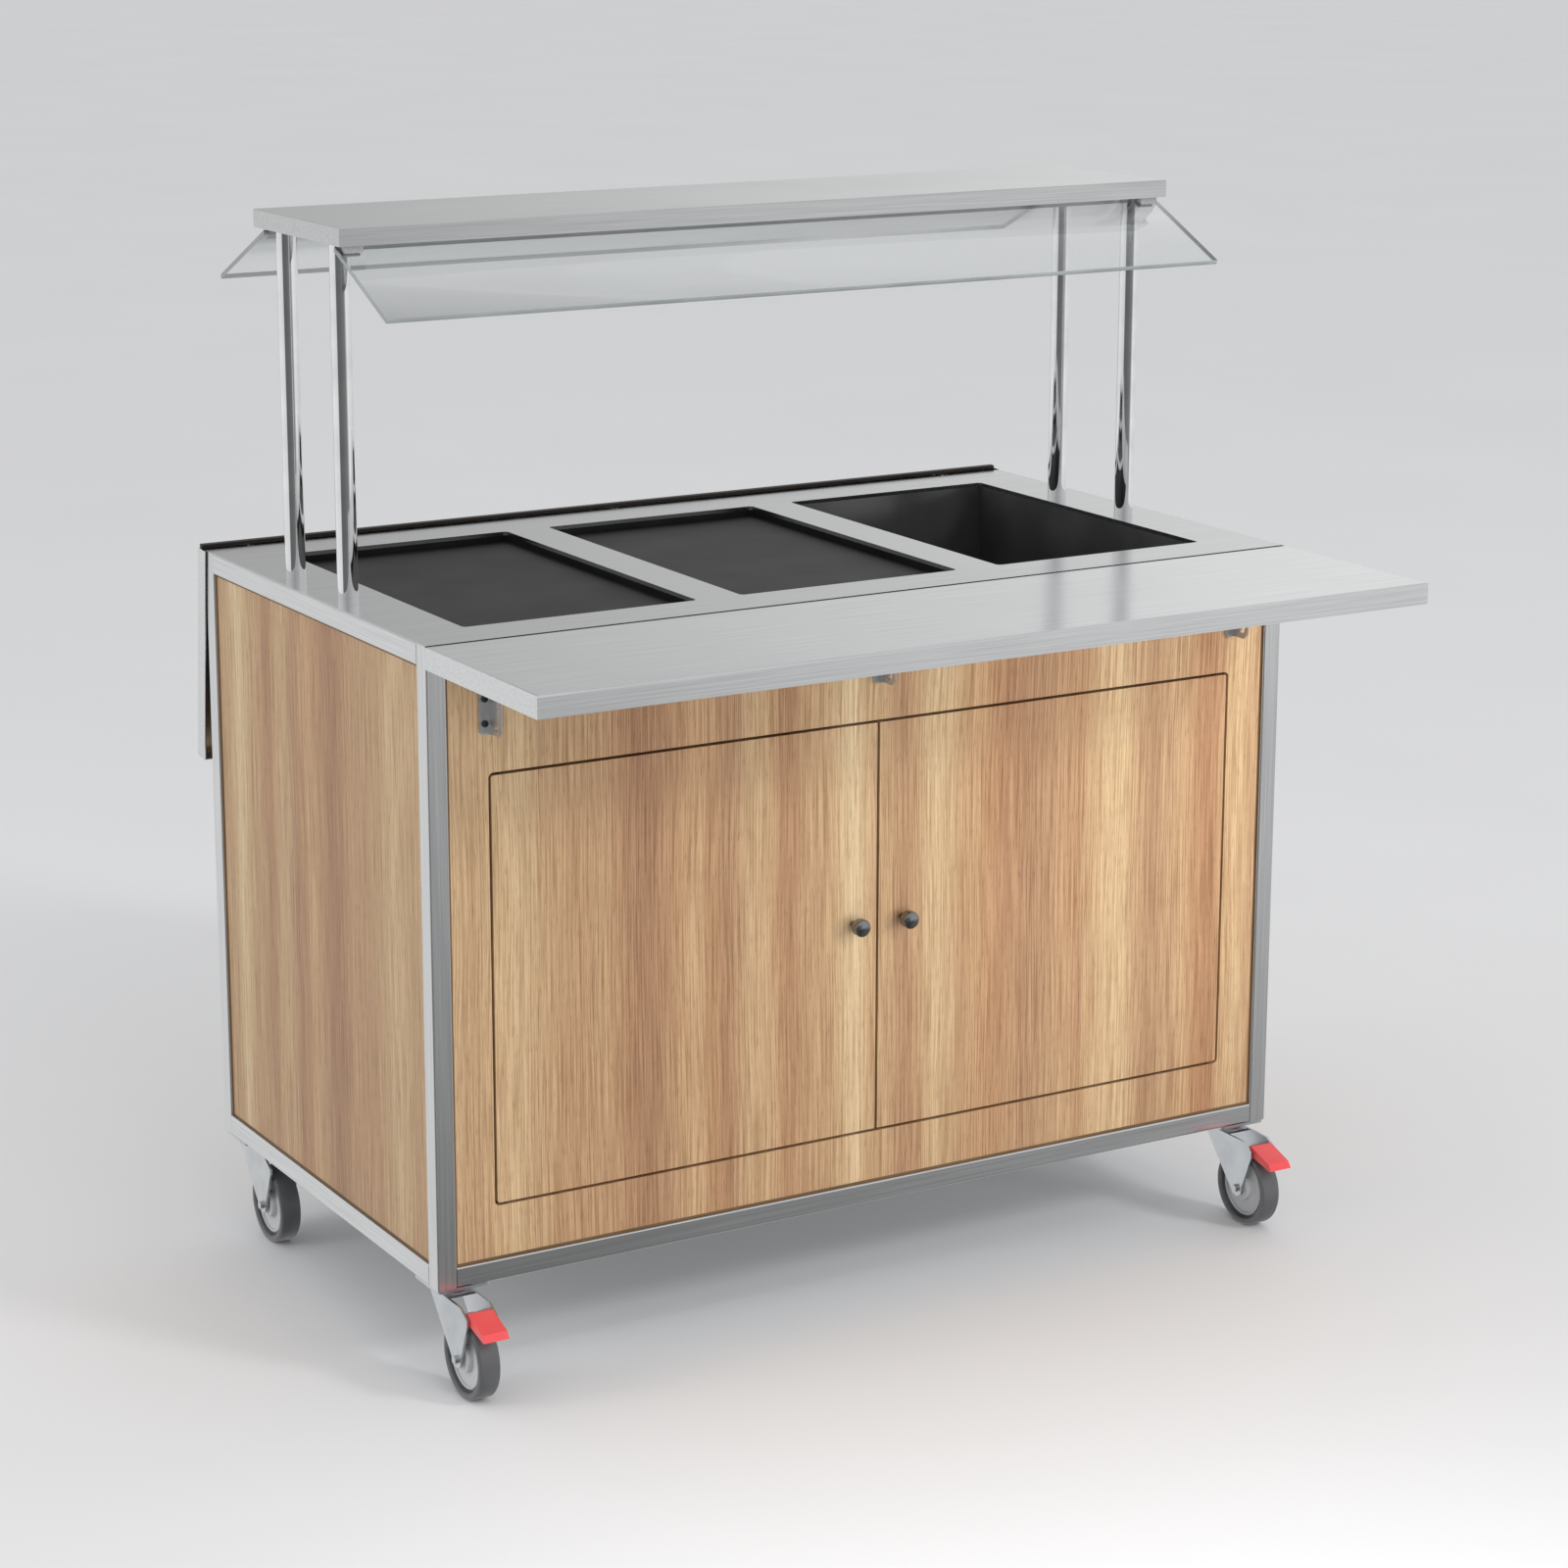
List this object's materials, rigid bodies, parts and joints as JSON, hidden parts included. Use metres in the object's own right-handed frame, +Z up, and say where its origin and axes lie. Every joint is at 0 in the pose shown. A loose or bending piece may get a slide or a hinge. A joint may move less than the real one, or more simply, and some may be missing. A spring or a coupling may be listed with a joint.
{
  "type": "cold buffet counter",
  "caption": "Mobile refrigerated serving counter: wood-panelled steel frame on castors, cold wells, overshelf with slanted guards, folding tray slides and a cupboard.",
  "frame": {"origin": "on the floor, below the middle of the whole object's outline with the trays as pictured", "axes": "+Z up, +X along the length to the right as seen from the door side, the doors face -Y"},
  "size_m": [1.2044, 0.9752, 1.342],
  "materials": {
    "stainless": "satin",
    "polished_tube": "polished",
    "wood_laminate": "satin",
    "edging_rubber": "matte",
    "cold_plate": "satin",
    "deep_liner": "satin",
    "guard_glass": "gloss",
    "zinc_plate": "satin",
    "wheel_rubber": "matte",
    "pedal_plastic": "satin",
    "copper_tube": "satin",
    "black_enamel": "satin",
    "fin_aluminium": "satin",
    "galvanised_sheet": "satin",
    "black_plastic": "satin",
    "white_plastic": "satin",
    "foam": "matte",
    "screw_steel": "satin"
  },
  "bodies": {
    "cabinet": {"bracket_screws": "screw_steel", "cable_gland": "black_plastic", "caster_plates": "zinc_plate", "cold_plates": "cold_plate", "compressor": "black_enamel", "compressor_grommets": "edging_rubber", "condenser": "fin_aluminium", "control_box": "black_plastic", "cupboard_floor": "galvanised_sheet", "deep_well": "deep_liner", "door_catches": "white_plastic", "door_pivot_pins": "screw_steel", "drain": "stainless", "fan_housing": "black_enamel", "frame_end_rails": "stainless", "frame_long_rails": "stainless", "frame_posts": "stainless", "front_guard": "guard_glass", "front_surround": "wood_laminate", "guard_clamps": "stainless", "left_end_panel": "wood_laminate", "overshelf": "stainless", "overshelf_posts": "polished_tube", "panel_edging": "edging_rubber", "post_nuts": "zinc_plate", "rear_guard": "guard_glass", "rear_panel": "wood_laminate", "refrigerant_tube": "copper_tube", "right_end_panel": "wood_laminate", "tray_brackets": "stainless", "tray_pivot_bolts": "screw_steel", "unit_base": "galvanised_sheet", "vent_grille": "stainless", "well_foam": "foam", "worktop": "stainless"},
    "left_door": {"left_door": "wood_laminate", "left_knob": "polished_tube"},
    "right_door": {"right_door": "wood_laminate", "right_knob": "polished_tube"},
    "front_tray": {"front_tray": "stainless", "front_tray_seal": "edging_rubber"},
    "front_struts": {"front_struts": "zinc_plate"},
    "rear_tray": {"rear_tray": "stainless", "rear_tray_seal": "edging_rubber"},
    "rear_struts": {"rear_struts": "zinc_plate"},
    "thermostat_dial": {"thermostat_dial": "black_plastic"},
    "rocker_switch": {"rocker_switch": "black_plastic"},
    "drain_lever": {"drain_lever": "pedal_plastic"},
    "fan_rotor": {"fan_rotor": "black_plastic"},
    "fork_front_left": {"fork_front_left": "zinc_plate"},
    "wheel_front_left": {"wheel_front_left": "wheel_rubber"},
    "fork_front_right": {"fork_front_right": "zinc_plate"},
    "wheel_front_right": {"wheel_front_right": "wheel_rubber"},
    "fork_rear_left": {"fork_rear_left": "zinc_plate"},
    "wheel_rear_left": {"wheel_rear_left": "wheel_rubber"},
    "fork_rear_right": {"fork_rear_right": "zinc_plate"},
    "wheel_rear_right": {"wheel_rear_right": "wheel_rubber"},
    "pedal_front_left": {"pedal_front_left": "pedal_plastic"},
    "pedal_front_right": {"pedal_front_right": "pedal_plastic"}
  },
  "joints": [
    {"name": "left_door_hinge", "type": "hinge", "parent": "cabinet", "child": "left_door", "pos_m": [-0.507, -0.19556, 0.482], "axis": [0, 0, -1], "range_deg": [0, 110]},
    {"name": "right_door_hinge", "type": "hinge", "parent": "cabinet", "child": "right_door", "pos_m": [0.507, -0.19556, 0.482], "axis": [0, 0, 1], "range_deg": [0, 110]},
    {"name": "front_tray_fold", "type": "hinge", "parent": "cabinet", "child": "front_tray", "pos_m": [0, -0.21956, 0.892], "axis": [-1, 0, 0], "range_deg": [-85, 0]},
    {"name": "front_strut_swing", "type": "hinge", "parent": "front_tray", "child": "front_struts", "pos_m": [0, -0.25856, 0.892], "axis": [1, 0, 0], "range_deg": [-126.48, 0]},
    {"name": "rear_tray_fold", "type": "hinge", "parent": "cabinet", "child": "rear_tray", "pos_m": [0, 0.45644, 0.892], "axis": [1, 0, 0], "range_deg": [0, 85]},
    {"name": "rear_strut_swing", "type": "hinge", "parent": "rear_tray", "child": "rear_struts", "pos_m": [0, 0.45984, 0.85315], "axis": [-1, 0, 0], "range_deg": [0, 126.48]},
    {"name": "thermostat_turn", "type": "hinge", "parent": "cabinet", "child": "thermostat_dial", "pos_m": [0.5774, 0.07594, 0.76], "axis": [1, 0, 0], "range_deg": [0, 270]},
    {"name": "rocker_tilt", "type": "hinge", "parent": "cabinet", "child": "rocker_switch", "pos_m": [0.582, 0.16094, 0.76], "axis": [0, 1, 0], "range_deg": [0, 15]},
    {"name": "drain_valve_turn", "type": "hinge", "parent": "cabinet", "child": "drain_lever", "pos_m": [0.366, 0.09244, 0.6535], "axis": [0, 1, 0], "range_deg": [0, 90]},
    {"name": "fan_spin", "type": "hinge", "parent": "cabinet", "child": "fan_rotor", "pos_m": [0.305, 0.24044, 0.2792], "axis": [0, 1, 0], "continuous": true},
    {"name": "swivel_front_left", "type": "hinge", "parent": "cabinet", "child": "fork_front_left", "pos_m": [-0.565, -0.17156, 0.12], "axis": [0, 0, 1], "continuous": true},
    {"name": "roll_front_left", "type": "hinge", "parent": "fork_front_left", "child": "wheel_front_left", "pos_m": [-0.565, -0.22156, 0.05], "axis": [1, 0, 0], "continuous": true},
    {"name": "swivel_front_right", "type": "hinge", "parent": "cabinet", "child": "fork_front_right", "pos_m": [0.565, -0.17156, 0.12], "axis": [0, 0, 1], "continuous": true},
    {"name": "roll_front_right", "type": "hinge", "parent": "fork_front_right", "child": "wheel_front_right", "pos_m": [0.565, -0.22156, 0.05], "axis": [1, 0, 0], "continuous": true},
    {"name": "swivel_rear_left", "type": "hinge", "parent": "cabinet", "child": "fork_rear_left", "pos_m": [-0.565, 0.40844, 0.12], "axis": [0, 0, 1], "continuous": true},
    {"name": "roll_rear_left", "type": "hinge", "parent": "fork_rear_left", "child": "wheel_rear_left", "pos_m": [-0.565, 0.35844, 0.05], "axis": [1, 0, 0], "continuous": true},
    {"name": "swivel_rear_right", "type": "hinge", "parent": "cabinet", "child": "fork_rear_right", "pos_m": [0.565, 0.40844, 0.12], "axis": [0, 0, 1], "continuous": true},
    {"name": "roll_rear_right", "type": "hinge", "parent": "fork_rear_right", "child": "wheel_rear_right", "pos_m": [0.565, 0.35844, 0.05], "axis": [1, 0, 0], "continuous": true},
    {"name": "brake_front_left", "type": "hinge", "parent": "fork_front_left", "child": "pedal_front_left", "pos_m": [-0.565, -0.24356, 0.106], "axis": [1, 0, 0], "range_deg": [0, 12]},
    {"name": "brake_front_right", "type": "hinge", "parent": "fork_front_right", "child": "pedal_front_right", "pos_m": [0.565, -0.24356, 0.106], "axis": [1, 0, 0], "range_deg": [0, 12]}
  ],
  "couplings": [
    {"joint": "front_strut_swing", "follows": "front_tray_fold", "ratio": 1.488},
    {"joint": "rear_strut_swing", "follows": "rear_tray_fold", "ratio": 1.488}
  ]
}
